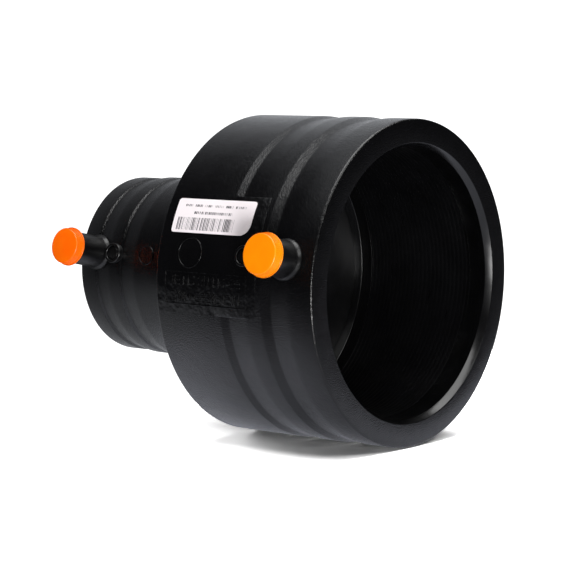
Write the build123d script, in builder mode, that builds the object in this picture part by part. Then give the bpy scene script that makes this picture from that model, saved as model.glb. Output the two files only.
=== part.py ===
"""Electrofusion reducer coupler for polyethylene pipe, 110 mm to 63 mm.

The coupler stands on the end face of its small socket. The origin is the centre of that face,
+Z runs along the bore towards the large mouth, and the two terminals point along -Y.
"""

import os
from math import cos, radians, sin

from build123d import *

# ---- sockets and walls ----
LARGE_BORE = 55.6  # radius of the large socket, for a pipe of 110 mm
LARGE_WALL = 11.6
LARGE_DEPTH = 68.5  # mouth to pipe stop
SMALL_BORE = 31.9  # radius of the small socket, for a pipe of 63 mm
SMALL_WALL = 7.9
SMALL_DEPTH = 62.0
LARGE_LEAD_IN = 1.7  # radial width of the bevel in the large mouth
LARGE_LEAD_IN_DEPTH = 2.9
SMALL_LEAD_IN = 0.3
SMALL_LEAD_IN_DEPTH = 0.6

# ---- middle of the body, from one pipe stop to the other ----
MIDDLE = 20.0
PASSAGE_LENGTH = 12.0  # straight part of the flow passage, above the small stop
LARGE_STOP = 5.6  # radial width of the ledge that stops the pipe
SMALL_STOP = 3.4
TAPER_FOOT = 1.5  # how much wider the taper starts than the passage
SHOULDER_ABOVE_STOP = 8.0  # outer step between the barrels, above the small stop

# ---- rings round the large barrel, measured down from its mouth ----
UPPER_RING_STEP = 25.5
UPPER_RING_DEPTH = 1.3
UPPER_STEP_RUN = 4.1  # height over which the ring's steep side falls
UPPER_RAMP = 9.3
UPPER_BAND_DROP = 0.2  # the band at the mouth is this much smaller
LOWER_RING_STEP = 46.6
LOWER_RING_DEPTH = 1.1
LOWER_STEP_RUN = 3.3
LOWER_RAMP = 9.9
LARGE_EDGE = 1.2

# ---- rings round the small barrel, measured up from its end ----
END_RING_STEP = 8.5
END_BAND_DROP = 1.6
END_RAMP = 7.2
INNER_RING_STEP = 22.8
INNER_BAND_DROP = 1.0
INNER_RAMP = 8.5
SMALL_RING_DEPTH = 0.7
SMALL_STEP_RUN = 1.3
SMALL_EDGE = 0.8
SHOULDER_FILLET = 1.6

# ---- heating coil ----
WIRE = 1.8  # radial thickness of the coated wire in the bore
PITCH = 2.1  # of the winding's turns, which lie side by side
LARGE_COIL_START = 10.5  # from the mouth
LARGE_COIL_CLEAR = 5.5  # least distance from the coil to the pipe stop
SMALL_COIL_START = 5.0
SMALL_COIL_CLEAR = 11.5
LINK_RADIUS = 0.6  # bare wire that joins the two coils inside the wall
LINK_COVER = 0.4  # skin between that wire and the bore
LINK_BEND = 4.0
LINK_ENTRY = 0.5  # length of the link inside each coil
FIT = 0.02  # moulded-in pieces lie this close to the body

# ---- terminals ----
LARGE_TERMINAL = 14.2  # from the mouth
SMALL_TERMINAL = 9.0
LARGE_SHROUD = 14.0  # height above the barrel
SMALL_SHROUD = 18.8
LARGE_SHROUD_RADIUS = 7.45
SMALL_SHROUD_RADIUS = 6.8
SHROUD_WALL = 1.85
SHROUD_FLOOR = 3.0
SHROUD_FOOT = 0.9
SHROUD_FOOT_HEIGHT = 1.4
SHROUD_ROOT = 4.0  # how far the shroud starts inside the wall
PIN_RADIUS = 2.35
PIN_TIP = 2.5  # distance from the pin's tip to the shroud's rim
PIN_TIP_CHAMFER = 0.6
PIN_FOOT_RADIUS = 2.9
PIN_FOOT = 1.2

# ---- caps on the terminals ----
CAP_TOP = 1.9
CAP_SKIRT = 2.2
CAP_FIT = 0.05
CAP_WALL = 0.9
CAP_DRAFT = 0.3
CAP_RIM = 0.5
CAP_RIM_HEIGHT = 0.7
CAP_BEVEL = 0.5
CAP_SPIGOT_WALL = 0.8
CAP_SPIGOT = 2.0
CAP_SPIGOT_FIT = 0.15

# ---- fusion indicators ----
LARGE_INDICATOR = 34.0  # from the mouth
SMALL_INDICATOR = 20.1
WELL_RADIUS = 4.3
WELL_WALL = 1.2
WELL_HEIGHT = 1.9
WELL_FLOOR = 1.0  # plastic left between the well and the coil
WELL_FIT = 0.1
INDICATOR_SUNK = 0.5
INDICATOR_CROWN = 0.5

# ---- data panel, label and raised marks ----
PANEL_WIDTH = 49.8
PANEL_END = 2.5  # gap from the panel to the step above it
LABEL_ANGLE = 13.1  # round the barrel from the terminals, towards -X
LABEL_WIDTH = 14.6
LABEL_FOOT = 5.6  # from the shoulder
LABEL_HEAD = 8.6  # from the step above the panel
LABEL_CORNER = 1.2
LABEL_CUT_CORNER = 5.0
LABEL_THICKNESS = 0.12
TEXT_ANGLE = 12.2  # towards +X
TEXT_WIDTH = 13.6
TEXT_FOOT = 5.2
TEXT_HEAD = 7.0
FRAME_LINE = 0.5
MARK_HEIGHT = 0.3
LARGE_MARK = 17.5  # centre of the round mark above the shoulder
LARGE_MARK_RADIUS = 6.3
SMALL_MARK = 39.0
SMALL_MARK_RADIUS = 4.2
MARK_LINE = 0.6
MARK_ROOT = 3.0  # how far raised marks start inside the wall

# ---- worked out from the sizes above ----
LENGTH = SMALL_DEPTH + MIDDLE + LARGE_DEPTH
SHOULDER = SMALL_DEPTH + SHOULDER_ABOVE_STOP
LARGE_RADIUS = LARGE_BORE + LARGE_WALL
SMALL_RADIUS = SMALL_BORE + SMALL_WALL
PASSAGE = SMALL_BORE - SMALL_STOP
TAPER_TOP = LARGE_BORE - LARGE_STOP
LARGE_RECESS = LARGE_BORE + WIRE
SMALL_RECESS = SMALL_BORE + WIRE
UPPER_STEP = LENGTH - UPPER_RING_STEP
LOWER_STEP = LENGTH - LOWER_RING_STEP
# barrel radius, height, radius behind the coil, shroud height, shroud radius
TERMINALS = {
    "large": (LARGE_RADIUS, LENGTH - LARGE_TERMINAL, LARGE_RECESS, LARGE_SHROUD, LARGE_SHROUD_RADIUS),
    "small": (
        SMALL_RADIUS - END_BAND_DROP,
        SMALL_TERMINAL,
        SMALL_RECESS,
        SMALL_SHROUD,
        SMALL_SHROUD_RADIUS,
    ),
}
# barrel radius, height, radius behind the coil
INDICATORS = {
    "large": (LARGE_RADIUS, LENGTH - LARGE_INDICATOR, LARGE_RECESS),
    "small": (SMALL_RADIUS - INNER_BAND_DROP, SMALL_INDICATOR, SMALL_RECESS),
}
LARGE_TURNS = int((LARGE_DEPTH - LARGE_COIL_START - LARGE_COIL_CLEAR) / PITCH)
SMALL_TURNS = int((SMALL_DEPTH - SMALL_COIL_START - SMALL_COIL_CLEAR) / PITCH)
LARGE_COIL_TOP = LENGTH - LARGE_COIL_START
LARGE_COIL_FOOT = LARGE_COIL_TOP - LARGE_TURNS * PITCH
SMALL_COIL_TOP = SMALL_COIL_START + SMALL_TURNS * PITCH


def facing(angle, radius):
    """Plane that touches the barrel's radius, turned round the bore from the terminals towards +X."""
    turn = radians(angle)
    out = Vector(sin(turn), -cos(turn), 0)
    return Plane(origin=out * radius, x_dir=(cos(turn), sin(turn), 0), z_dir=out)


def radial(radius, height):
    """Half-section plane of a piece that stands on the terminals' line: x is its radius, y points out."""
    return Plane(origin=(0, -radius, height), x_dir=(0, 0, 1), z_dir=(1, 0, 0))


def outward(height):
    return Axis((0, 0, height), (0, -1, 0))


def write(part, name):
    part.label = name
    export_step(part, f"parts/{name}.step")


def link_path():
    """Run of the joining wire inside the wall, from the large coil down to the small one."""
    beside_large = LARGE_BORE + LINK_COVER + LINK_RADIUS
    beside_small = SMALL_BORE + LINK_COVER + LINK_RADIUS
    middle_run = SMALL_DEPTH + SHOULDER_ABOVE_STOP / 2
    return [
        (0, beside_large, LARGE_COIL_FOOT + LINK_ENTRY),
        (0, beside_large, SHOULDER + (MIDDLE - SHOULDER_ABOVE_STOP) * 0.7),
        (0, beside_small, middle_run),
        (0, beside_small, SMALL_COIL_TOP - LINK_ENTRY),
    ]


def make_panel():
    """Saddle that fills the lower ring under the label, the text field and the indicator."""
    foot = LOWER_STEP - LOWER_STEP_RUN
    head = UPPER_STEP - PANEL_END
    with BuildPart() as panel:
        with BuildSketch(facing(0, LARGE_RECESS + 1)):
            with Locations((0, (foot + head) / 2)):
                Rectangle(PANEL_WIDTH, head - foot)
        extrude(amount=LARGE_WALL)
        Cylinder(LARGE_RADIUS, LENGTH, align=(Align.CENTER, Align.CENTER, Align.MIN), mode=Mode.INTERSECT)
    return panel.part


def make_marks():
    """Raised frame of the text field and the round mark, on the large barrel."""
    foot = SHOULDER + TEXT_FOOT
    head = UPPER_STEP - TEXT_HEAD
    with BuildPart() as marks:
        with BuildSketch(facing(TEXT_ANGLE, LARGE_RADIUS - MARK_ROOT)):
            with Locations((0, (foot + head) / 2)):
                Rectangle(TEXT_WIDTH, head - foot)
                Rectangle(TEXT_WIDTH - 2 * FRAME_LINE, head - foot - 2 * FRAME_LINE, mode=Mode.SUBTRACT)
        extrude(amount=MARK_ROOT + 1)
        with BuildSketch(facing(0, LARGE_RADIUS - MARK_ROOT)):
            with Locations((0, SHOULDER + LARGE_MARK)):
                Circle(LARGE_MARK_RADIUS)
                Circle(LARGE_MARK_RADIUS - MARK_LINE, mode=Mode.SUBTRACT)
        extrude(amount=MARK_ROOT + 1)
        Cylinder(
            LARGE_RADIUS + MARK_HEIGHT,
            LENGTH,
            align=(Align.CENTER, Align.CENTER, Align.MIN),
            mode=Mode.INTERSECT,
        )
    return marks.part


def make_small_mark():
    with BuildPart() as mark:
        with BuildSketch(facing(0, SMALL_RADIUS - MARK_ROOT)):
            with Locations((0, SMALL_MARK)):
                Circle(SMALL_MARK_RADIUS)
                Circle(SMALL_MARK_RADIUS - MARK_LINE, mode=Mode.SUBTRACT)
        extrude(amount=MARK_ROOT + 1)
        Cylinder(
            SMALL_RADIUS + MARK_HEIGHT,
            LENGTH,
            align=(Align.CENTER, Align.CENTER, Align.MIN),
            mode=Mode.INTERSECT,
        )
    return mark.part


def make_body():
    end_band = SMALL_RADIUS - END_BAND_DROP
    inner_band = SMALL_RADIUS - INNER_BAND_DROP
    mouth_band = LARGE_RADIUS - UPPER_BAND_DROP
    small_rings = [
        (end_band, END_RING_STEP),
        (end_band - SMALL_RING_DEPTH, END_RING_STEP + SMALL_STEP_RUN),
        (inner_band, END_RING_STEP + SMALL_STEP_RUN + END_RAMP),
        (inner_band, INNER_RING_STEP),
        (inner_band - SMALL_RING_DEPTH, INNER_RING_STEP + SMALL_STEP_RUN),
        (SMALL_RADIUS, INNER_RING_STEP + SMALL_STEP_RUN + INNER_RAMP),
    ]
    large_rings = [
        (LARGE_RADIUS, LOWER_STEP),
        (LARGE_RADIUS - LOWER_RING_DEPTH, LOWER_STEP + LOWER_STEP_RUN),
        (LARGE_RADIUS, LOWER_STEP + LOWER_STEP_RUN + LOWER_RAMP),
        (LARGE_RADIUS, UPPER_STEP),
        (LARGE_RADIUS - UPPER_RING_DEPTH, UPPER_STEP + UPPER_STEP_RUN),
        (mouth_band, UPPER_STEP + UPPER_STEP_RUN + UPPER_RAMP),
    ]
    with BuildPart() as body:
        # turned outside: small barrel, flat shoulder, large barrel
        with BuildSketch(Plane.XZ):
            with BuildLine():
                Polyline(
                    (0, 0),
                    (end_band - SMALL_EDGE, 0),
                    (end_band, SMALL_EDGE),
                    *small_rings,
                    (SMALL_RADIUS, SHOULDER - SHOULDER_FILLET),
                    (SMALL_RADIUS + SHOULDER_FILLET, SHOULDER),
                    (LARGE_RADIUS - LARGE_EDGE, SHOULDER),
                    (LARGE_RADIUS, SHOULDER + LARGE_EDGE),
                    *large_rings,
                    (mouth_band, LENGTH - LARGE_EDGE),
                    (mouth_band - LARGE_EDGE, LENGTH),
                    (0, LENGTH),
                    close=True,
                )
            make_face()
        revolve(axis=Axis.Z)
        add(make_panel())

        # terminal shrouds, each with a spreading foot, and the rims of the indicator wells
        for radius, height, _, rise, shroud in TERMINALS.values():
            with BuildSketch(facing(0, radius - SHROUD_ROOT)):
                with Locations((0, height)):
                    Circle(shroud)
            extrude(amount=SHROUD_ROOT + rise)
            with BuildSketch(radial(radius, height)):
                with BuildLine():
                    Polyline(
                        (0, -SHROUD_ROOT / 2),
                        (shroud + SHROUD_FOOT, -SHROUD_ROOT / 2),
                        (shroud + SHROUD_FOOT, 0),
                        (shroud, SHROUD_FOOT_HEIGHT),
                        (0, SHROUD_FOOT_HEIGHT),
                        close=True,
                    )
                make_face()
            revolve(axis=outward(height))
        for radius, height, _ in INDICATORS.values():
            with BuildSketch(facing(0, radius - SHROUD_ROOT)):
                with Locations((0, height)):
                    Circle(WELL_RADIUS)
            extrude(amount=SHROUD_ROOT + WELL_HEIGHT)
        add(make_marks())
        add(make_small_mark())

        # sockets, pipe stops and the flow passage between them
        with BuildSketch(Plane.XZ):
            with BuildLine():
                Polyline(
                    (0, 0),
                    (SMALL_BORE + SMALL_LEAD_IN, 0),
                    (SMALL_BORE, SMALL_LEAD_IN_DEPTH),
                    (SMALL_BORE, SMALL_DEPTH),
                    (PASSAGE, SMALL_DEPTH),
                    (PASSAGE, SMALL_DEPTH + PASSAGE_LENGTH - TAPER_FOOT),
                    (PASSAGE + TAPER_FOOT, SMALL_DEPTH + PASSAGE_LENGTH),
                    (TAPER_TOP, SMALL_DEPTH + MIDDLE),
                    (LARGE_BORE, SMALL_DEPTH + MIDDLE),
                    (LARGE_BORE, LENGTH - LARGE_LEAD_IN_DEPTH),
                    (LARGE_BORE + LARGE_LEAD_IN, LENGTH),
                    (0, LENGTH),
                    close=True,
                )
            make_face()
        revolve(axis=Axis.Z, mode=Mode.SUBTRACT)

        # recesses that hold the two windings, and the channel of the wire between them
        for recess, foot, head in (
            (LARGE_RECESS, LARGE_COIL_FOOT, LARGE_COIL_TOP),
            (SMALL_RECESS, SMALL_COIL_START, SMALL_COIL_TOP),
        ):
            with BuildSketch(Plane.XY.offset(foot - FIT)):
                Circle(recess + FIT)
            extrude(amount=head - foot + 2 * FIT, mode=Mode.SUBTRACT)
        with BuildLine() as channel:
            FilletPolyline(*link_path(), radius=LINK_BEND)
        with BuildSketch(Plane(origin=channel.line @ 0, z_dir=channel.line % 0)):
            Circle(LINK_RADIUS + FIT)
        sweep(path=channel.line, mode=Mode.SUBTRACT)

        # inside of the shrouds, seats of the terminal pins, and the indicator wells
        for radius, height, recess, rise, shroud in TERMINALS.values():
            with BuildSketch(facing(0, radius + SHROUD_FLOOR)):
                with Locations((0, height)):
                    Circle(shroud - SHROUD_WALL)
            extrude(amount=rise, mode=Mode.SUBTRACT)
            with BuildSketch(facing(0, recess - WIRE / 2)):
                with Locations((0, height)):
                    Circle(PIN_FOOT_RADIUS + FIT)
            extrude(amount=WIRE / 2 + PIN_FOOT + 2 * FIT, mode=Mode.SUBTRACT)
            with BuildSketch(facing(0, recess)):
                with Locations((0, height)):
                    Circle(PIN_RADIUS + FIT)
            extrude(amount=radius + rise - recess, mode=Mode.SUBTRACT)
        for radius, height, recess in INDICATORS.values():
            with BuildSketch(facing(0, recess + WELL_FLOOR)):
                with Locations((0, height)):
                    Circle(WELL_RADIUS - WELL_WALL)
            extrude(amount=radius + WELL_HEIGHT - recess, mode=Mode.SUBTRACT)
    return body.part


def make_coil():
    """One continuous coated wire: the large winding, the link in the wall and the small winding."""
    with BuildPart() as coil:
        for bore, foot, head in (
            (LARGE_BORE, LARGE_COIL_FOOT, LARGE_COIL_TOP),
            (SMALL_BORE, SMALL_COIL_START, SMALL_COIL_TOP),
        ):
            with BuildSketch(Plane.XY.offset(foot)):
                Circle(bore + WIRE)
                Circle(bore, mode=Mode.SUBTRACT)
            extrude(amount=head - foot)
        with BuildLine() as route:
            FilletPolyline(*link_path(), radius=LINK_BEND)
        with BuildSketch(Plane(origin=route.line @ 0, z_dir=route.line % 0)):
            Circle(LINK_RADIUS)
        sweep(path=route.line)
    return coil.part


def make_pin(radius, height, recess, rise):
    """Turned contact pin: a flange against the winding and a chamfered tip inside the shroud."""
    foot = recess + FIT - radius
    tip = rise - PIN_TIP
    with BuildPart() as pin:
        with BuildSketch(radial(radius, height)):
            with BuildLine():
                Polyline(
                    (0, foot),
                    (PIN_FOOT_RADIUS, foot),
                    (PIN_FOOT_RADIUS, foot + PIN_FOOT),
                    (PIN_RADIUS, foot + PIN_FOOT),
                    (PIN_RADIUS, tip - PIN_TIP_CHAMFER),
                    (PIN_RADIUS - PIN_TIP_CHAMFER, tip),
                    (0, tip),
                    close=True,
                )
            make_face()
        revolve(axis=outward(height))
    return pin.part


def make_cap(radius, height, rise, shroud):
    """Push-on cap: a flat disc, a skirt with a rim round the shroud and a short spigot inside it."""
    seat = radius + rise
    inside = shroud + CAP_FIT
    outside = inside + CAP_WALL
    spigot = shroud - SHROUD_WALL - CAP_SPIGOT_FIT
    with BuildPart() as cap:
        with BuildSketch(radial(seat, height)):
            with BuildLine():
                Polyline(
                    (0, 0),
                    (spigot - CAP_SPIGOT_WALL, 0),
                    (spigot - CAP_SPIGOT_WALL, -CAP_SPIGOT),
                    (spigot, -CAP_SPIGOT),
                    (spigot, 0),
                    (inside, 0),
                    (inside, -CAP_SKIRT),
                    (outside + CAP_RIM, -CAP_SKIRT),
                    (outside + CAP_RIM, CAP_RIM_HEIGHT - CAP_SKIRT),
                    (outside, CAP_RIM_HEIGHT - CAP_SKIRT),
                    (outside - CAP_DRAFT, CAP_TOP - CAP_BEVEL),
                    (outside - CAP_DRAFT - CAP_BEVEL, CAP_TOP),
                    (0, CAP_TOP),
                    close=True,
                )
            make_face()
        revolve(axis=outward(height))
    return cap.part


def make_indicator(radius, height, recess):
    """Pin that stands in its well and rises once, when the melt under it swells."""
    foot = recess + WELL_FLOOR - radius
    head = WELL_HEIGHT - INDICATOR_SUNK
    shaft = WELL_RADIUS - WELL_WALL - WELL_FIT
    with BuildPart() as indicator:
        with BuildSketch(radial(radius, height)):
            with BuildLine():
                Polyline(
                    (0, foot),
                    (shaft, foot),
                    (shaft, head - INDICATOR_CROWN),
                    (shaft - INDICATOR_CROWN, head),
                    (0, head),
                    close=True,
                )
            make_face()
        revolve(axis=outward(height))
    return indicator.part


def make_label():
    """Stuck-on label, curved to the barrel, with one corner cut round beside the terminal."""
    foot = SHOULDER + LABEL_FOOT
    head = UPPER_STEP - LABEL_HEAD
    with BuildPart() as label:
        with BuildSketch(facing(-LABEL_ANGLE, LARGE_RADIUS - MARK_ROOT)):
            with BuildLine():
                FilletPolyline(
                    (LABEL_WIDTH / 2, head),
                    (-LABEL_WIDTH / 2, head),
                    (-LABEL_WIDTH / 2, foot),
                    (LABEL_WIDTH / 2, foot),
                    radius=(LABEL_CUT_CORNER, LABEL_CORNER, LABEL_CORNER, LABEL_CORNER),
                    close=True,
                )
            make_face()
        extrude(amount=MARK_ROOT + 1)
        with BuildSketch(Plane.XY):
            Circle(LARGE_RADIUS + FIT + LABEL_THICKNESS)
            Circle(LARGE_RADIUS + FIT, mode=Mode.SUBTRACT)
        extrude(amount=LENGTH, mode=Mode.INTERSECT)
    return label.part


os.makedirs("parts", exist_ok=True)
write(make_body(), "body")
write(make_coil(), "heating_coil")
for side, (radius, height, recess, rise, shroud) in TERMINALS.items():
    write(make_pin(radius, height, recess, rise), f"{side}_terminal_pin")
    write(make_cap(radius, height, rise, shroud), f"{side}_terminal_cap")
for side, (radius, height, recess) in INDICATORS.items():
    write(make_indicator(radius, height, recess), f"{side}_indicator_pin")
write(make_label(), "label")
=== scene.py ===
"""Looks of a black electrofusion reducer coupler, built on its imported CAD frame.

Sizes below are in millimetres and match the CAD. +Z runs along the bore towards the large mouth,
the terminals point along -Y, and the coupler stands on the end of its small socket.
"""

import random
from math import cos, pi, radians, sin

import bmesh
import bpy
from mathutils import Matrix, Vector


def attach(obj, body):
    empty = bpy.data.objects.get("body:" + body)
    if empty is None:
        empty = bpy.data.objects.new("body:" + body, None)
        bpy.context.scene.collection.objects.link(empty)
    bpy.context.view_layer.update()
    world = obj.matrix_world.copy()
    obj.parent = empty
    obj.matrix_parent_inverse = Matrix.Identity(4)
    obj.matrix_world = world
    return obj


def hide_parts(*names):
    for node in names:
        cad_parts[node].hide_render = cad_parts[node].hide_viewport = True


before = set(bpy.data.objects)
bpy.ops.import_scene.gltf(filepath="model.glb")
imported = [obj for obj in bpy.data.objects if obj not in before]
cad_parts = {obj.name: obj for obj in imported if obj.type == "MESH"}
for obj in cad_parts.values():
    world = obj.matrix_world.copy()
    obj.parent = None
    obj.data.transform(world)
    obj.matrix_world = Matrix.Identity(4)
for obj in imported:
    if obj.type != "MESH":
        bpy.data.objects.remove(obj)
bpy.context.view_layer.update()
MM = 0.001

# ---- sockets, walls and heights ----
LENGTH = 150.5
SMALL_DEPTH = 62.0
SHOULDER = 70.0
LARGE_STOP = 82.0
LARGE_RADIUS = 67.2
SMALL_RADIUS = 39.8
LARGE_BORE = 55.6
SMALL_BORE = 31.9
PASSAGE = 28.5
PASSAGE_TOP = 74.0
TAPER_FOOT = 1.5
TAPER_TOP = 50.0
LARGE_LEAD_IN = (1.7, 2.9)
SMALL_LEAD_IN = (0.3, 0.6)

# ---- rings round the two barrels: height of the step, then depth, run of the step and ramp ----
RING_EDGES = (0.35, 0.5, 0.9)  # roundings of the band, of the foot of the step and of the ramp's end
UPPER_STEP = 125.0
UPPER_RING = (1.3, 4.1, 9.3)
LOWER_STEP = 103.9
LOWER_RING = (1.1, 3.3, 9.9)
MOUTH_BAND = 67.0
END_BAND = 38.2
END_STEP = 8.5
END_RING = (0.7, 1.3, 7.2)
INNER_BAND = 38.8
INNER_STEP = 22.8
INNER_RING = (0.7, 1.3, 8.5)

# ---- heating coil ----
TURN = 2.1
VALLEY = 0.11
WIRE = 1.8
LARGE_COIL = (87.5, 140.0)
SMALL_COIL = (5.0, 49.1)
COIL_CLEAN_EDGE = 60  # least angle, in degrees, that stays a sharp edge on the winding

# ---- terminals, caps and indicators, all on the -Y side ----
# barrel radius, height, rise of the shroud, radius of the shroud
TERMINALS = {
    "large": (LARGE_RADIUS, 136.3, 14.0, 7.45),
    "small": (END_BAND, 9.0, 18.8, 6.8),
}
SHROUD_WALL = 1.85
SHROUD_FLOOR = 3.0
SHROUD_FOOT = 0.9
SHROUD_FOOT_HEIGHT = 1.4
SHROUD_ROOT = 3.0  # how far a shroud starts inside the wall
CAP_TOP = 1.9
CAP_SKIRT = 2.2
CAP_FIT = 0.05
CAP_WALL = 0.9
CAP_RIM = 0.5
CAP_RIM_HEIGHT = 0.7
CAP_DRAFT = 0.3
CAP_BEVEL = 0.5
CAP_RIBS = 60
CAP_RIB_HEIGHT = 0.17
# barrel radius and height
INDICATORS = {
    "large": (LARGE_RADIUS, 116.5),
    "small": (INNER_BAND, 20.1),
}
WELL_RADIUS = 4.3
WELL_WALL = 1.2
WELL_HEIGHT = 1.9
WELL_FLOOR = 0.2
WELL_ROOT = 2.0

# ---- panel, label and raised marks ----
PANEL_WIDTH = 49.8
PANEL_FOOT = 100.6
PANEL_HEAD = 122.5
PANEL_ROOT = 4.0
PANEL_PROUD = 0.04  # keeps the panel's skin clear of the barrel's
PANEL_EDGE = 0.35
LABEL_ANGLE = 13.1
TEXT_ANGLE = 12.2
TEXT_WIDTH = 13.6
TEXT_FOOT = 75.2
TEXT_HEAD = 118.0
FRAME_LINE = 0.5
BLOCK_HEIGHT = 0.45
BLOCK_EDGE = 0.2
BLOCK_ROOT = 0.6
TEXT_ROWS = (-3.25, 3.5)
TEXT_CELLS = 14
TEXT_CELL = 2.62
FIRST_CELL = 79.9
# blocks of each kind of generic mark: place across and along its cell, then width and length
MARK_BLOCKS = {
    "bar": [(0.0, 0.0, 3.9, 0.7)],
    "two bars": [(0.0, shift, 3.9, 0.5) for shift in (-0.6, 0.6)],
    "dashes": [(shift, 0.0, 0.55, 1.7) for shift in (-1.7, 0.0, 1.7)],
    "dots": [(shift, 0.0, 0.8, 0.8) for shift in (-1.3, 1.3)],
    "square": [(0.0, 0.0, 2.0, 1.6)],
}
MARK_HEIGHT = 0.3
MARK_LINE = 0.6
MARK_ROOT = 0.8
# barrel radius, height, radius of the mark
ROUND_MARKS = {
    "large": (LARGE_RADIUS, 87.5, 6.3),
    "small": (SMALL_RADIUS, 39.0, 4.2),
}

# ---- fineness of turned pieces ----
BARREL_STEPS = 192
SHROUD_STEPS = 64
WELL_STEPS = 48
AXIS_GAP = 0.02  # a turned piece ends this close to its axis
CLEAN_EDGE = 32  # least angle, in degrees, that stays a sharp edge


# ---- shapes ----
def outline(bm, points):
    """Closed half-section from (radius, height, rounding) corners, each rounded by its own amount."""
    verts = [bm.verts.new((r, 0, z)) for r, z, _ in points]
    edges = [bm.edges.new((a, b)) for a, b in zip(verts, verts[1:] + verts[:1])]
    by_rounding = {}
    for vert, (_, _, rounding) in zip(verts, points):
        if rounding:
            by_rounding.setdefault(rounding, []).append(vert)
    for rounding, corners in by_rounding.items():
        bmesh.ops.bevel(
            bm, geom=corners, offset=rounding, offset_type="OFFSET", segments=3,
            profile=0.5, affect="VERTICES", material=-1,
        )
    return edges


def turned(points, steps):
    """Piece turned about +Z from a half-section."""
    bm = bmesh.new()
    outline(bm, points)
    bmesh.ops.spin(
        bm, geom=bm.verts[:] + bm.edges[:], cent=(0, 0, 0), axis=(0, 0, 1), dvec=(0, 0, 0),
        angle=2 * pi, steps=steps, use_merge=True,
    )
    bmesh.ops.remove_doubles(bm, verts=bm.verts[:], dist=1e-4)
    return bm


def on_terminal_line(bm, radius, height):
    """Turns a piece made along +Z so that it stands on the barrel, pointing along -Y."""
    place = Matrix.Translation((0, -radius, height)) @ Matrix.Rotation(pi / 2, 4, "X")
    bmesh.ops.transform(bm, matrix=place, verts=bm.verts[:])
    return bm


def make_piece(name, bm, material, replaced=(), clean_edge=CLEAN_EDGE):
    """Finishes a bmesh in metres as a piece that rides on the coupler."""
    bmesh.ops.recalc_face_normals(bm, faces=bm.faces[:])
    bmesh.ops.scale(bm, vec=(MM, MM, MM), verts=bm.verts[:])
    mesh = bpy.data.meshes.new(name)
    bm.to_mesh(mesh)
    bm.free()
    mesh.shade_smooth()
    mesh.set_sharp_from_angle(angle=radians(clean_edge))
    mesh.materials.append(material)
    obj = bpy.data.objects.new(name, mesh)
    bpy.context.scene.collection.objects.link(obj)
    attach(obj, "root")
    if replaced:
        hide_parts(*replaced)
    return obj


def wrap(bm, radius, angle=0.0):
    """Bends a flat piece, drawn with x round the barrel and y along it, onto the barrel at -Y."""
    for vert in bm.verts:
        turn = vert.co.x / radius + radians(angle)
        out = radius + vert.co.z
        vert.co = Vector((sin(turn) * out, -cos(turn) * out, vert.co.y))


# ---- materials ----
def put(tree, kind, place=(0, 0), **values):
    """New node; values set its properties, or its inputs by name with _ for a space."""
    made = tree.nodes.new(kind)
    made.location = place
    for key, value in values.items():
        if hasattr(made, key):
            setattr(made, key, value)
        else:
            made.inputs[key.replace("_", " ")].default_value = value
    return made


def calc(tree, operation, a, b=None, place=(0, 0)):
    """Math node; each input is a number or a socket."""
    made = put(tree, "ShaderNodeMath", place, operation=operation)
    for socket, value in zip(made.inputs, (a, b)):
        if value is None:
            continue
        if isinstance(value, (int, float)):
            socket.default_value = value
        else:
            tree.links.new(value, socket)
    return made.outputs[0]


def start_group(name, inputs, outputs):
    """Node group with a Position input; the other sockets are plain values."""
    group = bpy.data.node_groups.new(name, "ShaderNodeTree")
    group.interface.new_socket("Position", in_out="INPUT", socket_type="NodeSocketVector")
    for label in inputs:
        group.interface.new_socket(label, in_out="INPUT", socket_type="NodeSocketFloat")
    for label in outputs:
        group.interface.new_socket(label, in_out="OUTPUT", socket_type="NodeSocketFloat")
    return group, put(group, "NodeGroupInput", (-900, 0)), put(group, "NodeGroupOutput", (700, 0))


def make_grain_group():
    """Moulded polyethylene skin: fine grain, soft sink waves and uneven gloss."""
    group, inlet, outlet = start_group(
        "moulded_grain",
        ("Grain Scale", "Grain Depth", "Wave Scale", "Wave Depth", "Gloss", "Gloss Spread"),
        ("Height", "Roughness", "Shade"),
    )
    link = group.links.new
    grain = put(group, "ShaderNodeTexNoise", (-500, 200), Detail=0.4, Roughness=0.5)
    wave = put(group, "ShaderNodeTexNoise", (-500, -100), Detail=1.0, Roughness=0.5)
    patch = put(group, "ShaderNodeTexNoise", (-500, -400), Scale=90.0, Detail=2.0)
    for texture in (grain, wave, patch):
        link(inlet.outputs["Position"], texture.inputs["Vector"])
    link(inlet.outputs["Grain Scale"], grain.inputs["Scale"])
    link(inlet.outputs["Wave Scale"], wave.inputs["Scale"])
    fine = calc(group, "MULTIPLY", grain.outputs["Fac"], inlet.outputs["Grain Depth"])
    broad = calc(group, "MULTIPLY", wave.outputs["Fac"], inlet.outputs["Wave Depth"])
    link(calc(group, "ADD", fine, broad), outlet.inputs["Height"])
    uneven = calc(group, "SUBTRACT", patch.outputs["Fac"], 0.5)
    uneven = calc(group, "MULTIPLY", uneven, inlet.outputs["Gloss Spread"])
    link(calc(group, "ADD", uneven, inlet.outputs["Gloss"]), outlet.inputs["Roughness"])
    link(patch.outputs["Fac"], outlet.inputs["Shade"])
    return group


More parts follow.
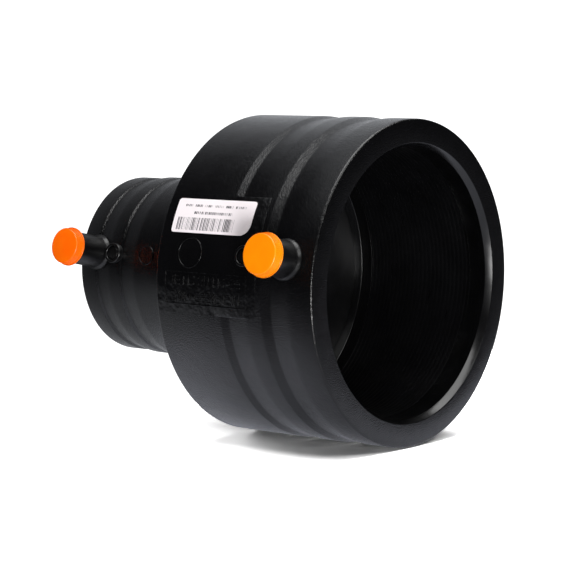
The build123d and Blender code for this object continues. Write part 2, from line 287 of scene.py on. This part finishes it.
def make_field_group():
    """Mask is 1 on the polished field at the terminals' line; Grained is 0 in the large bore, else 1."""
    group, inlet, outlet = start_group(
        "polished_field", ("Half Angle", "Foot", "Head", "Inner"), ("Mask", "Grained"),
    )
    split = put(group, "ShaderNodeSeparateXYZ", (-700, 0))
    group.links.new(inlet.outputs["Position"], split.inputs["Vector"])
    front = calc(group, "MULTIPLY", split.outputs["Y"], -1.0)
    turn = calc(group, "ABSOLUTE", calc(group, "ARCTAN2", split.outputs["X"], front))
    reach = calc(group, "SQRT", calc(
        group, "ADD", calc(group, "MULTIPLY", front, front),
        calc(group, "MULTIPLY", split.outputs["X"], split.outputs["X"]),
    ))
    mask = calc(group, "LESS_THAN", turn, inlet.outputs["Half Angle"])
    for operation, value, limit in (
        ("GREATER_THAN", split.outputs["Z"], "Foot"),
        ("LESS_THAN", split.outputs["Z"], "Head"),
        ("GREATER_THAN", reach, "Inner"),
    ):
        mask = calc(group, "MULTIPLY", mask, calc(group, operation, value, inlet.outputs[limit]))
    group.links.new(mask, outlet.inputs["Mask"])
    below = calc(group, "LESS_THAN", split.outputs["Z"], inlet.outputs["Foot"])
    outside = calc(group, "GREATER_THAN", reach, (LARGE_BORE + LARGE_LEAD_IN[0]) * MM)
    group.links.new(calc(group, "MAXIMUM", below, outside), outlet.inputs["Grained"])
    return group


GRAIN = make_grain_group()
FIELD = make_field_group()
GRAIN_SOCKETS = ("Grain Scale", "Grain Depth", "Wave Scale", "Wave Depth", "Gloss", "Gloss Spread")


def start_material(name):
    """New node material with its tree and its Principled shader."""
    material = bpy.data.materials.new(name)
    material.use_nodes = True
    tree = material.node_tree
    shader = tree.nodes["Principled BSDF"]
    return material, tree, shader


def make_plastic(name, dark, light, skin, field=None, ior=1.5):
    """Polyethylene with a moulded skin; skin and field give the grain's sockets in their order."""
    material, tree, shader = start_material(name)
    link = tree.links.new
    where = put(tree, "ShaderNodeTexCoord", (-1200, 0))
    grain = put(tree, "ShaderNodeGroup", (-650, 0), node_tree=GRAIN)
    link(where.outputs["Object"], grain.inputs["Position"])
    for label, value in zip(GRAIN_SOCKETS, skin):
        grain.inputs[label].default_value = value
    if field:
        mask = put(
            tree, "ShaderNodeGroup", (-1000, -300), node_tree=FIELD,
            Half_Angle=PANEL_WIDTH / 2 / LARGE_RADIUS, Foot=(SHOULDER + 1.0) * MM, Head=PANEL_HEAD * MM,
            Inner=(LARGE_RADIUS - 2.0) * MM,
        )
        link(where.outputs["Object"], mask.inputs["Position"])
        for row, (label, plain, polished) in enumerate(zip(GRAIN_SOCKETS, skin, field)):
            blend = put(tree, "ShaderNodeMapRange", (-850, -150 * row), To_Min=plain, To_Max=polished)
            link(mask.outputs["Mask"], blend.inputs["Value"])
            value = blend.outputs["Result"]
            if label == "Grain Depth":
                value = calc(tree, "MULTIPLY", value, mask.outputs["Grained"])
            link(value, grain.inputs[label])
    tone = put(tree, "ShaderNodeValToRGB", (-350, 200))
    tone.color_ramp.elements[0].color = (*dark, 1)
    tone.color_ramp.elements[0].position = 0.35
    tone.color_ramp.elements[1].color = (*light, 1)
    tone.color_ramp.elements[1].position = 0.65
    bump = put(tree, "ShaderNodeBump", (-350, -200), Strength=1.0, Distance=1.0)
    link(grain.outputs["Shade"], tone.inputs["Fac"])
    link(tone.outputs["Color"], shader.inputs["Base Color"])
    link(grain.outputs["Roughness"], shader.inputs["Roughness"])
    link(grain.outputs["Height"], bump.inputs["Height"])
    link(bump.outputs["Normal"], shader.inputs["Normal"])
    shader.inputs["IOR"].default_value = ior
    return material


PE_BLACK = ((0.0008, 0.0008, 0.0009), (0.0012, 0.0012, 0.0014))
black_pe = make_plastic(
    "black_polyethylene", *PE_BLACK,
    skin=(2100, 0.00015, 160, 0.0001, 0.22, 0.1),
    field=(1200, 0.00008, 330, 0.0004, 0.24, 0.1),
)
shroud_pe = make_plastic(
    "shroud_polyethylene", *PE_BLACK,
    skin=(1100, 0.00005, 200, 0.0001, 0.32, 0.1),
)
coil_pe = make_plastic(
    "coil_polyethylene", (0.0006, 0.0006, 0.0008), (0.0009, 0.0009, 0.0012),
    skin=(1500, 0.00004, 120, 0.00006, 0.36, 0.12), ior=1.38,
)
CAP_SKIN = (900, 0.00001, 140, 0.00005, 0.36, 0.1)
large_cap_orange = make_plastic(
    "cap_orange", (1.0, 0.23, 0.0), (1.0, 0.265, 0.0), skin=CAP_SKIN, ior=1.45,
)
small_cap_orange = make_plastic(
    "cap_deep_orange", (1.0, 0.13, 0.0), (1.0, 0.165, 0.0), skin=CAP_SKIN, ior=1.45,
)


def make_brass():
    """Turned brass with fine rings along the pin."""
    material, tree, shader = start_material("turned_brass")
    where = put(tree, "ShaderNodeTexCoord", (-900, 0))
    rings = put(tree, "ShaderNodeTexWave", (-600, 0), wave_type="BANDS", bands_direction="Y", Scale=900.0)
    tree.links.new(where.outputs["Object"], rings.inputs["Vector"])
    tone = put(tree, "ShaderNodeValToRGB", (-350, 100))
    tone.color_ramp.elements[0].color = (0.55, 0.38, 0.15, 1)
    tone.color_ramp.elements[1].color = (0.75, 0.55, 0.25, 1)
    tree.links.new(rings.outputs["Fac"], tone.inputs["Fac"])
    tree.links.new(tone.outputs["Color"], shader.inputs["Base Color"])
    shader.inputs["Metallic"].default_value = 1.0
    shader.inputs["Roughness"].default_value = 0.3
    return material


brass = make_brass()


# rows of print: cell, seed, least and most share of ink, limits across and along the label in mm,
# and the cells that part a row into words, with their own seed and shares
LABEL_PRINT = (
    (0.74, 11.0, 0.1, 0.8, (0.9, 6.2), (77.8, 107.4), None),
    (0.95, 37.0, 0.2, 0.85, (-1.75, -0.6), (85.5, 105.5), None),
    (0.85, 71.0, 0.1, 0.8, (-4.8, -3.8), (79.0, 111.5), (5.3, 5.0, 0.75, 0.9)),
)


def make_label_film():
    """White film with generic print: a field of bars with no code in it and two rows of dashes."""
    material, tree, shader = start_material("printed_label_film")
    where = put(tree, "ShaderNodeTexCoord", (-1600, 0))
    split = put(tree, "ShaderNodeSeparateXYZ", (-1400, 0))
    tree.links.new(where.outputs["Object"], split.inputs["Vector"])
    front = calc(tree, "MULTIPLY", split.outputs["Y"], -1.0)
    turn = calc(tree, "ADD", calc(tree, "ARCTAN2", split.outputs["X"], front), radians(LABEL_ANGLE))
    across = calc(tree, "MULTIPLY", turn, LARGE_RADIUS)  # mm from the middle line, + to the terminals
    along = calc(tree, "MULTIPLY", split.outputs["Z"], 1 / MM)

    def between(value, low, high):
        """1 where the value lies between low and high."""
        over = calc(tree, "GREATER_THAN", value, low)
        return calc(tree, "MULTIPLY", over, calc(tree, "LESS_THAN", value, high))

    def marks(cell, seed, least, most):
        """One mark in each cell along the label, of a random share of the cell."""
        place = calc(tree, "DIVIDE", along, cell)
        toss = put(tree, "ShaderNodeTexWhiteNoise", noise_dimensions="1D")
        tree.links.new(calc(tree, "ADD", calc(tree, "FLOOR", place), seed), toss.inputs["W"])
        share = put(tree, "ShaderNodeMapRange", To_Min=least, To_Max=most)
        tree.links.new(toss.outputs["Value"], share.inputs["Value"])
        return calc(tree, "LESS_THAN", calc(tree, "FRACT", place), share.outputs["Result"])

    ink = 0.0
    for cell, seed, least, most, width, length, words in LABEL_PRINT:
        row = calc(tree, "MULTIPLY", marks(cell, seed, least, most), between(across, *width))
        row = calc(tree, "MULTIPLY", row, between(along, *length))
        if words:
            row = calc(tree, "MULTIPLY", row, marks(*words))
        ink = calc(tree, "MAXIMUM", row, ink)
    paper = put(tree, "ShaderNodeValToRGB", (-350, 200))
    paper.color_ramp.elements[0].color = (0.84, 0.78, 0.8, 1)
    paper.color_ramp.elements[1].color = (0.03, 0.028, 0.035, 1)
    tree.links.new(ink, paper.inputs["Fac"])
    tree.links.new(paper.outputs["Color"], shader.inputs["Base Color"])
    shader.inputs["Roughness"].default_value = 0.42
    return material


label_film = make_label_film()


# ---- the moulding ----
def ring(band, step, sizes, beyond):
    """Corners of one ring: edge of the band, foot of the steep side and end of the long ramp."""
    depth, run, ramp = sizes
    places = ((band, step), (band - depth, step + run), (beyond, step + run + ramp))
    return [(*place, edge) for place, edge in zip(places, RING_EDGES)]


def make_barrel():
    """Turned body: both barrels with their rings, the sockets, the pipe stops and the passage.

    Each corner is its radius, its height and its rounding.
    """
    behind_large = LARGE_BORE + VALLEY
    behind_small = SMALL_BORE + VALLEY
    return turned([
        (SMALL_BORE + SMALL_LEAD_IN[0], 0, 0.15),
        (END_BAND, 0, 0.9),
        *ring(END_BAND, END_STEP, END_RING, INNER_BAND),
        *ring(INNER_BAND, INNER_STEP, INNER_RING, SMALL_RADIUS),
        (SMALL_RADIUS, SHOULDER, 1.8),
        (LARGE_RADIUS, SHOULDER, 1.2),
        *ring(LARGE_RADIUS, LOWER_STEP, LOWER_RING, LARGE_RADIUS),
        *ring(LARGE_RADIUS, UPPER_STEP, UPPER_RING, MOUTH_BAND),
        (MOUTH_BAND, LENGTH, 1.0),
        (LARGE_BORE + LARGE_LEAD_IN[0], LENGTH, 0.25),
        (LARGE_BORE, LENGTH - LARGE_LEAD_IN[1], 0.3),
        (LARGE_BORE, LARGE_COIL[1], 0.1),
        (behind_large, LARGE_COIL[1] - VALLEY, 0.1),
        (behind_large, LARGE_COIL[0] + VALLEY, 0.1),
        (LARGE_BORE, LARGE_COIL[0], 0.1),
        (LARGE_BORE, LARGE_STOP, 0.4),
        (TAPER_TOP, LARGE_STOP, 0.6),
        (PASSAGE + TAPER_FOOT, PASSAGE_TOP, 1.2),
        (PASSAGE, PASSAGE_TOP - TAPER_FOOT, 0.6),
        (PASSAGE, SMALL_DEPTH, 0.5),
        (SMALL_BORE, SMALL_DEPTH, 0.3),
        (SMALL_BORE, SMALL_COIL[1], 0.1),
        (behind_small, SMALL_COIL[1] - VALLEY, 0.1),
        (behind_small, SMALL_COIL[0] + VALLEY, 0.1),
        (SMALL_BORE, SMALL_COIL[0], 0.1),
        (SMALL_BORE, SMALL_LEAD_IN[1], 0.1),
    ], steps=BARREL_STEPS)


def make_panel():
    """Saddle that fills the lower ring under the label and the raised marks."""
    bm = bmesh.new()
    bmesh.ops.create_grid(bm, x_segments=40, y_segments=1, size=0.5)
    bmesh.ops.scale(bm, vec=(PANEL_WIDTH, PANEL_HEAD - PANEL_FOOT, 1), verts=bm.verts[:])
    bmesh.ops.translate(bm, vec=(0, (PANEL_FOOT + PANEL_HEAD) / 2, -PANEL_ROOT), verts=bm.verts[:])
    lifted = bmesh.ops.extrude_face_region(bm, geom=bm.faces[:])["geom"]
    top = {face for face in lifted if isinstance(face, bmesh.types.BMFace)}
    bmesh.ops.translate(
        bm, vec=(0, 0, PANEL_ROOT + PANEL_PROUD),
        verts=[v for v in lifted if isinstance(v, bmesh.types.BMVert)],
    )
    rim = {e for face in top for e in face.edges if not all(f in top for f in e.link_faces)}
    bmesh.ops.bevel(
        bm, geom=list(rim), offset=PANEL_EDGE, offset_type="OFFSET", segments=3, profile=0.5,
        affect="EDGES", material=-1,
    )
    wrap(bm, LARGE_RADIUS)
    return bm


def make_shroud(rise, size):
    """Round shroud of a terminal, with a spreading foot and an open top."""
    bore = size - SHROUD_WALL
    foot = size + SHROUD_FOOT
    return turned([
        (AXIS_GAP, -SHROUD_ROOT, 0), (foot, -SHROUD_ROOT, 0), (foot, 0.0, 0.4),
        (size, SHROUD_FOOT_HEIGHT, 0.5), (size, rise, 0.3), (bore, rise, 0.3),
        (bore, SHROUD_FLOOR, 0.4), (AXIS_GAP, SHROUD_FLOOR, 0),
    ], steps=SHROUD_STEPS)


def make_well():
    """Low round well in which an indicator pin stands."""
    inside = WELL_RADIUS - WELL_WALL
    return turned([
        (AXIS_GAP, -WELL_ROOT, 0), (WELL_RADIUS, -WELL_ROOT, 0), (WELL_RADIUS, WELL_HEIGHT, 0.4),
        (inside, WELL_HEIGHT, 0.3), (inside, WELL_FLOOR, 0.1), (AXIS_GAP, WELL_FLOOR, 0),
    ], steps=WELL_STEPS)


def add_block(bm, across, along, width, length):
    """Raised block with soft edges, drawn flat before it is wrapped on the barrel."""
    made = bmesh.ops.create_cube(bm, size=1.0)["verts"]
    bmesh.ops.scale(bm, vec=(width, length, BLOCK_HEIGHT + BLOCK_ROOT), verts=made)
    bmesh.ops.translate(bm, vec=(across, along, (BLOCK_HEIGHT - BLOCK_ROOT) / 2), verts=made)
    top = {e for v in made if v.co.z > 0 for e in v.link_edges if all(w.co.z > 0 for w in e.verts)}
    bmesh.ops.bevel(
        bm, geom=list(top), offset=BLOCK_EDGE, offset_type="OFFSET", segments=2, profile=0.5,
        affect="EDGES", material=-1,
    )


def make_text_field():
    """Frame round two rows of generic raised marks: bars, dashes, dots and squares."""
    bm = bmesh.new()
    middle = (TEXT_FOOT + TEXT_HEAD) / 2
    length = TEXT_HEAD - TEXT_FOOT
    side = (TEXT_WIDTH - FRAME_LINE) / 2
    for across in (-side, side):
        add_block(bm, across, middle, FRAME_LINE, length)
    for along in (TEXT_FOOT + FRAME_LINE / 2, TEXT_HEAD - FRAME_LINE / 2):
        add_block(bm, 0, along, TEXT_WIDTH, FRAME_LINE)
    toss = random.Random(4)
    for row in TEXT_ROWS:
        for index in range(TEXT_CELLS):
            kind = toss.choice(("bar", "two bars", "dashes", "dots", "square", "bar", "dashes"))
            for across, along, width, size in MARK_BLOCKS[kind]:
                add_block(bm, row + across, FIRST_CELL + index * TEXT_CELL + along, width, size)
    wrap(bm, LARGE_RADIUS, TEXT_ANGLE)
    return bm


def make_round_mark(radius, height, size):
    """Bare raised ring on a barrel."""
    inside = size - MARK_LINE
    bm = turned([
        (inside, -MARK_ROOT, 0), (size, -MARK_ROOT, 0),
        (size, MARK_HEIGHT, 0.15), (inside, MARK_HEIGHT, 0.15),
    ], steps=WELL_STEPS)
    bmesh.ops.translate(bm, vec=(0, height, 0), verts=bm.verts[:])
    wrap(bm, radius)
    return bm


make_piece("barrel", make_barrel(), black_pe, replaced=["body"])
make_piece("data_panel", make_panel(), black_pe)
for side, (radius, height, rise, size) in TERMINALS.items():
    shroud = on_terminal_line(make_shroud(rise, size), radius, height)
    make_piece(f"{side}_terminal_shroud", shroud, shroud_pe)
for side, (radius, height) in INDICATORS.items():
    well = on_terminal_line(make_well(), radius, height)
    make_piece(f"{side}_indicator_well", well, shroud_pe)
make_piece("raised_text_field", make_text_field(), black_pe)
for side, place in ROUND_MARKS.items():
    make_piece(f"{side}_round_mark", make_round_mark(*place), black_pe)


# ---- heating coil ----
def add_winding(bm, bore, foot, head, steps):
    """Coated wire wound as a helix from foot to head, each turn against the next."""
    section = [
        (bore + WIRE, 0), (bore + VALLEY, 0), (bore + VALLEY * 0.3, TURN * 0.17), (bore, TURN * 0.5),
        (bore + VALLEY * 0.3, TURN * 0.83), (bore + VALLEY, TURN), (bore + WIRE, TURN),
    ]
    verts = [bm.verts.new((r, 0, foot + z)) for r, z in section]
    edges = [bm.edges.new(pair) for pair in zip(verts, verts[1:] + verts[:1])]
    before = set(bm.verts) - set(verts)
    bmesh.ops.spin(
        bm, geom=verts + edges, cent=(0, 0, 0), axis=(0, 0, 1), dvec=(0, 0, TURN / steps),
        angle=2 * pi, steps=steps, use_merge=False,
    )
    turn = set(bm.verts) - before
    faces = [f for f in bm.faces if f.verts[0] in turn]
    for index in range(1, round((head - foot) / TURN) - 1):
        copied = bmesh.ops.duplicate(bm, geom=faces)["geom"]
        bmesh.ops.translate(
            bm, vec=(0, 0, TURN * index), verts=[v for v in copied if isinstance(v, bmesh.types.BMVert)],
        )


winding = bmesh.new()
add_winding(winding, LARGE_BORE, *LARGE_COIL, steps=96)
add_winding(winding, SMALL_BORE, *SMALL_COIL, steps=64)
bmesh.ops.remove_doubles(winding, verts=winding.verts[:], dist=1e-3)
bmesh.ops.holes_fill(winding, edges=[e for e in winding.edges if e.is_boundary], sides=0)
make_piece(
    "heating_coil_winding", winding, coil_pe, replaced=["heating_coil"],
    clean_edge=COIL_CLEAN_EDGE,
)


# ---- caps ----
def make_cap(size):
    """Push-on cap: flat disc, soft bevel, ribbed skirt and a slightly larger rim."""
    inside = size + CAP_FIT
    outside = inside + CAP_WALL
    shelf = CAP_RIM_HEIGHT - CAP_SKIRT
    bm = turned([
        (AXIS_GAP, 0.0, 0), (inside, 0.0, 0), (inside, -CAP_SKIRT, 0.1), (outside + CAP_RIM, -CAP_SKIRT, 0.2),
        (outside + CAP_RIM, shelf, 0.2), (outside - 0.15, shelf, 0.05),
        (outside - CAP_DRAFT - 0.1, CAP_TOP, CAP_BEVEL), (AXIS_GAP, CAP_TOP, 0),
    ], steps=CAP_RIBS * 4)
    bmesh.ops.recalc_face_normals(bm, faces=bm.faces[:])
    ribs = []
    for face in bm.faces:
        middle = face.calc_center_median()
        turn = Vector((1, 0)).angle_signed(middle.xy) / (2 * pi) * CAP_RIBS
        if middle.xy.length > outside - 0.5 and shelf < middle.z < CAP_TOP - CAP_BEVEL and turn % 1 < 0.5:
            ribs.append(face)
    raised = bmesh.ops.extrude_face_region(bm, geom=ribs)["geom"]
    for vert in (v for v in raised if isinstance(v, bmesh.types.BMVert)):
        vert.co += Vector((vert.co.x, vert.co.y, 0)).normalized() * CAP_RIB_HEIGHT
    bmesh.ops.delete(bm, geom=ribs, context="FACES")
    return bm


for side, material in (("large", large_cap_orange), ("small", small_cap_orange)):
    radius, height, rise, size = TERMINALS[side]
    cap = on_terminal_line(make_cap(size), radius + rise, height)
    make_piece(f"{side}_cap", cap, material, replaced=[f"{side}_terminal_cap"])

for name, material in (
    ("large_terminal_pin", brass), ("small_terminal_pin", brass),
    ("large_indicator_pin", shroud_pe), ("small_indicator_pin", shroud_pe), ("label", label_film),
):
    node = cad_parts[name]
    node.data.materials.clear()
    node.data.materials.append(material)


# ---- stage ----
def gloss_only(tree, path):
    """1 where the coupler's gloss is seen straight from the camera, 0 for every softer bounce."""
    return calc(
        tree, "MULTIPLY", path.outputs["Is Glossy Ray"],
        calc(tree, "LESS_THAN", path.outputs["Diffuse Depth"], 0.5),
    )


def make_stage_material(name, seen, glow, far_glow, near_glow, bands, reach):
    """Pale surface, seen from its front only, that takes shadows and casts none.

    seen is the colour and the light of its own that the camera sees. The coupler's gloss sees a
    matt sheet of the share 1 - glow and a glow of the share glow, both toned from near_glow to
    far_glow along the bands (direction, start, end, share) and fading over the distances in reach.
    """
    material, tree, shader = start_material(name)
    link = tree.links.new
    brightness, own_light = seen
    where = put(tree, "ShaderNodeNewGeometry", (-1300, -300))
    bright = 0.0
    for row, (direction, start, end, share) in enumerate(bands):
        along = put(tree, "ShaderNodeVectorMath", (-1100, -300 * row), operation="DOT_PRODUCT")
        along.inputs[1].default_value = direction
        link(where.outputs["Position"], along.inputs[0])
        band = put(tree, "ShaderNodeMapRange", (-900, -300 * row), From_Min=start, From_Max=end, To_Max=share)
        link(along.outputs["Value"], band.inputs["Value"])
        bright = calc(tree, "MAXIMUM", band.outputs["Result"], bright, (-700, -300 * row))
    distance = put(tree, "ShaderNodeVectorMath", (-1100, 300), operation="LENGTH")
    link(where.outputs["Position"], distance.inputs[0])
    fade = put(tree, "ShaderNodeMapRange", (-900, 300), From_Min=reach[1], From_Max=reach[0])
    link(distance.outputs["Value"], fade.inputs["Value"])
    tone = put(tree, "ShaderNodeValToRGB", (-500, -300))
    tone.color_ramp.elements[0].color = (*near_glow, 1)
    tone.color_ramp.elements[1].color = (*far_glow, 1)
    link(calc(tree, "MULTIPLY", bright, fade.outputs["Result"], (-600, -100)), tone.inputs["Fac"])
    shader.inputs["Base Color"].default_value = (brightness, brightness, brightness, 1)
    shader.inputs["Roughness"].default_value = 1.0
    shader.inputs["Specular IOR Level"].default_value = 0.0
    shader.inputs["Emission Color"].default_value = (1, 1, 1, 1)
    shader.inputs["Emission Strength"].default_value = own_light
    path = put(tree, "ShaderNodeLightPath", (0, 500))
    lamp = put(tree, "ShaderNodeEmission", (0, -300))
    sheet = put(tree, "ShaderNodeBsdfDiffuse", (0, -500))
    clear = put(tree, "ShaderNodeBsdfTransparent", (0, -700))
    mirrored = put(tree, "ShaderNodeMixShader", (200, -300), Fac=glow)
    shown = put(tree, "ShaderNodeMixShader", (400, 200))
    front = put(tree, "ShaderNodeMixShader", (600, 0))
    link(tone.outputs["Color"], lamp.inputs["Color"])
    link(gloss_only(tree, path), lamp.inputs["Strength"])
    link(tone.outputs["Color"], sheet.inputs["Color"])
    link(sheet.outputs["BSDF"], mirrored.inputs[1])
    link(lamp.outputs["Emission"], mirrored.inputs[2])
    link(path.outputs["Is Camera Ray"], shown.inputs["Fac"])
    link(mirrored.outputs["Shader"], shown.inputs[1])
    link(shader.outputs["BSDF"], shown.inputs[2])
    hidden = calc(tree, "MAXIMUM", where.outputs["Backfacing"], path.outputs["Is Shadow Ray"], (400, 500))
    link(hidden, front.inputs["Fac"])
    link(shown.outputs["Shader"], front.inputs[1])
    link(clear.outputs["BSDF"], front.inputs[2])
    link(front.outputs["Shader"], tree.nodes["Material Output"].inputs["Surface"])
    return material


def make_plane(name, matrix, material):
    """Large flat sheet of the stage; it looks along +Z before the matrix places it."""
    bm = bmesh.new()
    bmesh.ops.create_grid(bm, x_segments=1, y_segments=1, size=STAGE_HALF)
    bmesh.ops.transform(bm, matrix=matrix, verts=bm.verts[:])
    mesh = bpy.data.meshes.new(name)
    bm.to_mesh(mesh)
    bm.free()
    mesh.materials.append(material)
    obj = bpy.data.objects.new(name, mesh)
    bpy.context.scene.collection.objects.link(obj)
    return obj


STAGE_HALF = 3.0  # metres from the middle of each sheet to its sides
WALL_SIDE = Vector((0.979, 0.204, 0.0))
WALL_GAP = 0.3
floor_white = make_stage_material(
    "pale_floor", (0.3, 1.1), 1.0, (0.68, 0.7, 0.74), (0.03, 0.03, 0.035),
    [((0, 1, 0), -0.07, 0.07, 1.0), ((1, 0.5, 0), -0.02, 0.02, 0.7), ((-1, 0, 0), 0.18, 0.25, 0.9)],
    (0.35, 0.9),
)
wall_white = make_stage_material(
    "pale_wall", (3.4, 0.0), 0.35, (1.15, 1.18, 1.32), (0.1, 0.1, 0.11),
    [((0, 1, 0), -0.17, 0.02, 1.0)], (0.12, 0.33),
)
make_plane("floor", Matrix.Identity(4), floor_white)
wall_place = Matrix.Translation(WALL_SIDE * (LARGE_RADIUS + WALL_GAP) * MM)
wall_turn = (-WALL_SIDE).to_track_quat("Z", "Y").to_matrix().to_4x4()
make_plane("backdrop", wall_place @ wall_turn, wall_white)


# ---- light ----
def add_light(name, toward, distance, size, power, in_gloss=True):
    """White soft box that looks at the middle of the coupler from the given side."""
    middle = Vector((0, 0, 0.085))
    lamp = bpy.data.lights.new(name, "AREA")
    lamp.shape = "RECTANGLE"
    lamp.size, lamp.size_y = size
    lamp.energy = power
    obj = bpy.data.objects.new(name, lamp)
    side = Vector(toward).normalized()
    obj.location = middle + side * distance
    obj.rotation_mode = "QUATERNION"
    obj.rotation_quaternion = side.to_track_quat("Z", "Y")
    obj.visible_camera = False
    obj.visible_glossy = in_gloss
    bpy.context.scene.collection.objects.link(obj)


add_light("overhead_softbox", (-0.979, -0.204, 0.05), 0.9, (1.2, 0.9), 15.0)
add_light("mouth_softbox", (-0.6, -0.15, 0.8), 0.9, (0.4, 0.4), 1.8)
add_light("small_end_softbox", (-0.3, -0.06, -0.95), 0.9, (0.5, 0.5), 7.5, in_gloss=False)
add_light("front_softbox", (0.3, -0.6, 0.75), 1.1, (0.25, 0.25), 15.0)

# the gloss sees a dim room, a little lighter towards +Y, and the camera sees plain white
world = bpy.data.worlds.new("studio")
bpy.context.scene.world = world
world.use_nodes = True
tree = world.node_tree
sky = tree.nodes["Background"]
path = put(tree, "ShaderNodeLightPath", (0, 300))
where = put(tree, "ShaderNodeTexCoord", (-900, 0))
facing = put(tree, "ShaderNodeVectorMath", (-700, 0), operation="DOT_PRODUCT")
facing.inputs[1].default_value = (0.1, 0.99, 0.05)
ramp = put(tree, "ShaderNodeValToRGB", (-450, 0))
ramp.color_ramp.elements[0].position = 0.3
ramp.color_ramp.elements[0].color = (0.014, 0.014, 0.017, 1)
ramp.color_ramp.elements[1].position = 0.95
ramp.color_ramp.elements[1].color = (0.03, 0.03, 0.034, 1)
tree.links.new(where.outputs["Generated"], facing.inputs[0])
tree.links.new(facing.outputs["Value"], ramp.inputs["Fac"])
tree.links.new(ramp.outputs["Color"], sky.inputs["Color"])
tree.links.new(gloss_only(tree, path), sky.inputs["Strength"])
white = put(tree, "ShaderNodeBackground", (0, -200), Strength=1.2)
white.inputs["Color"].default_value = (1, 1, 1, 1)
mix = put(tree, "ShaderNodeMixShader", (300, 0))
tree.links.new(path.outputs["Is Camera Ray"], mix.inputs["Fac"])
tree.links.new(sky.outputs["Background"], mix.inputs[1])
tree.links.new(white.outputs["Background"], mix.inputs[2])
tree.links.new(mix.outputs["Shader"], tree.nodes["World Output"].inputs["Surface"])

# ---- camera ----
camera_data = bpy.data.cameras.new("camera")
camera_data.sensor_width = 36.0
camera_data.lens = 143.72
camera_data.clip_start = 0.01
camera_data.clip_end = 20.0
camera = bpy.data.objects.new("camera", camera_data)
place = Matrix.Translation((0.06231, -0.75000, 0.68935))
right = Vector((-0.12840, 0.61692, 0.77646)).normalized()
back = Vector((0.05963, -0.77675, 0.62696)).normalized()
up = back.cross(right).normalized()
right = up.cross(back).normalized()
camera.matrix_world = place @ Matrix((right, up, back)).transposed().to_4x4()
bpy.context.scene.collection.objects.link(camera)
bpy.context.scene.camera = camera
bpy.context.scene.view_settings.view_transform = "Standard"
bpy.context.scene.view_settings.look = "None"
